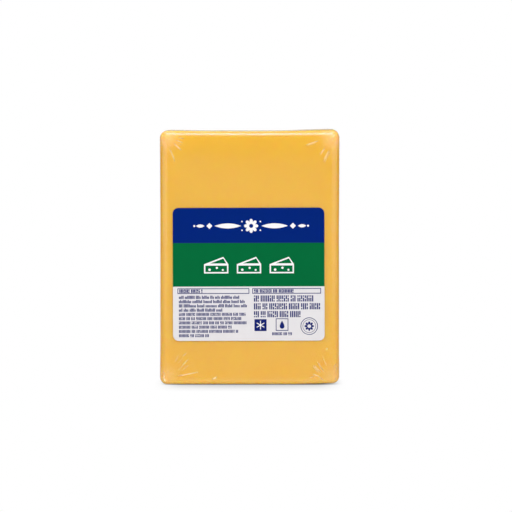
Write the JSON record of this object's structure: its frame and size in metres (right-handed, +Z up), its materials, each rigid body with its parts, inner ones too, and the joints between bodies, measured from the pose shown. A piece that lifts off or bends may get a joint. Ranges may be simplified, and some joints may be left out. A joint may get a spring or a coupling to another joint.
{
  "type": "wrapped cheddar block",
  "caption": "Upright block of cheddar cheese sealed in tight clear shrink film, with a stuck-on paper label in blue, green and white on its front.",
  "frame": {"origin": "on the floor, under the middle of the pack", "axes": "+Z up along the block's length, +X to the reader's right, -Y out of the labelled front"},
  "size_m": [0.0784, 0.0432, 0.1114],
  "materials": {
    "film_over_cheese": "tight clear film over pale orange cheddar",
    "cheese": "soft, slightly translucent cheddar",
    "clear_film": "clear gloss",
    "label_paper": "satin",
    "blue_print": "satin",
    "green_print": "satin",
    "navy_ink": "satin",
    "white_ink": "satin"
  },
  "bodies": {
    "root": {"wrapped_block": "film_over_cheese", "label": "label_paper"}
  },
  "joints": []
}
